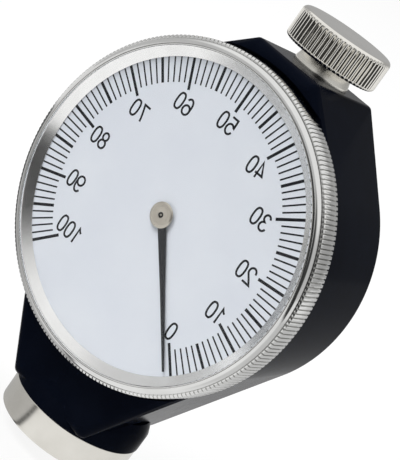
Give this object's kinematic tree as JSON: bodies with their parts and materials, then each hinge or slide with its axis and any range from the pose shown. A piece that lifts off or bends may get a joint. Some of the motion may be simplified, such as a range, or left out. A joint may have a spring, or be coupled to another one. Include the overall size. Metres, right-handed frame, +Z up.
{
  "type": "rubber hardness tester",
  "caption": "Hand-held dial gauge for rubber hardness: round knurled bezel, black tapered case, polished presser foot with a spring-loaded indenter, and a knurled top knob.",
  "frame": {"origin": "on the spindle's axis at the centre of the presser foot's face, so the indenter's tip reaches below it by its stroke", "axes": "+Z up along the spindle from the foot to the knob, -Y the way the dial faces, +X to the right of the dial as it is read"},
  "size_m": [0.059, 0.0288, 0.0876],
  "materials": {
    "case_black": "gloss black enamel",
    "nickel": "bright nickel plate",
    "bezel_chrome": "polished chrome plate",
    "steel": "fine turned",
    "spring_steel": "drawn wire and strip",
    "brass": "fine turned",
    "dial_white": "satin printed white",
    "clear_lens": "clear",
    "pointer_black": "satin black"
  },
  "bodies": {
    "case": {"case": "case_black", "back_cover": "case_black", "back_cover_screws": "steel", "knob_collar": "nickel", "knob_stud": "steel", "presser_foot": "nickel", "foot_grub_screw": "steel", "lower_guide_bush": "brass", "upper_guide_bush": "brass", "spring_adjusting_plug": "brass", "main_spring": "spring_steel", "guide_fork": "brass", "front_plate": "brass", "front_plate_screws": "steel", "bridge_plate": "brass", "pillars": "brass", "bridge_screws": "steel", "hairspring": "spring_steel", "hairspring_stud": "brass", "bezel_wire": "spring_steel"},
    "spindle": {"spindle": "steel", "spring_collar": "steel", "indenter": "steel", "guide_pin": "steel"},
    "transfer": {"transfer_arbor": "steel", "rack_pinion": "steel", "transfer_wheel": "brass"},
    "pointer": {"centre_arbor": "steel", "centre_pinion": "steel", "hairspring_collet": "brass", "pointer": "pointer_black", "pointer_hub": "nickel"},
    "bezel": {"bezel": "bezel_chrome", "dial": "dial_white", "dial_ring": "bezel_chrome", "lens": "clear_lens"},
    "knob": {"knob": "nickel"}
  },
  "joints": [
    {"name": "indenter_slide", "type": "slide", "parent": "case", "child": "spindle", "axis": [0, 0, 1], "range_m": [0, 0.0025], "stiffness_N_per_m": 3004, "springref_m": -0.00018, "deforming": ["main_spring"]},
    {"name": "transfer_turn", "type": "hinge", "parent": "case", "child": "transfer", "pos_m": [0.00418, 0, 0.03562], "axis": [0, 1, 0], "range_deg": [0, 54.72]},
    {"name": "pointer_turn", "type": "hinge", "parent": "case", "child": "pointer", "pos_m": [0, -0.0145, 0.0456], "axis": [0, -1, 0], "range_deg": [0, 273.6]},
    {"name": "bezel_turn", "type": "hinge", "parent": "case", "child": "bezel", "pos_m": [0, -0.0145, 0.0456], "axis": [0, -1, 0], "continuous": true},
    {"name": "knob_turn", "type": "hinge", "parent": "case", "child": "knob", "pos_m": [0, 0.0016, 0.0794], "axis": [0, 0, 1], "continuous": true}
  ],
  "couplings": [
    {"joint": "transfer_turn", "follows": "indenter_slide", "rad_per_m": 380.62},
    {"joint": "pointer_turn", "follows": "indenter_slide", "rad_per_m": 1903.1}
  ]
}
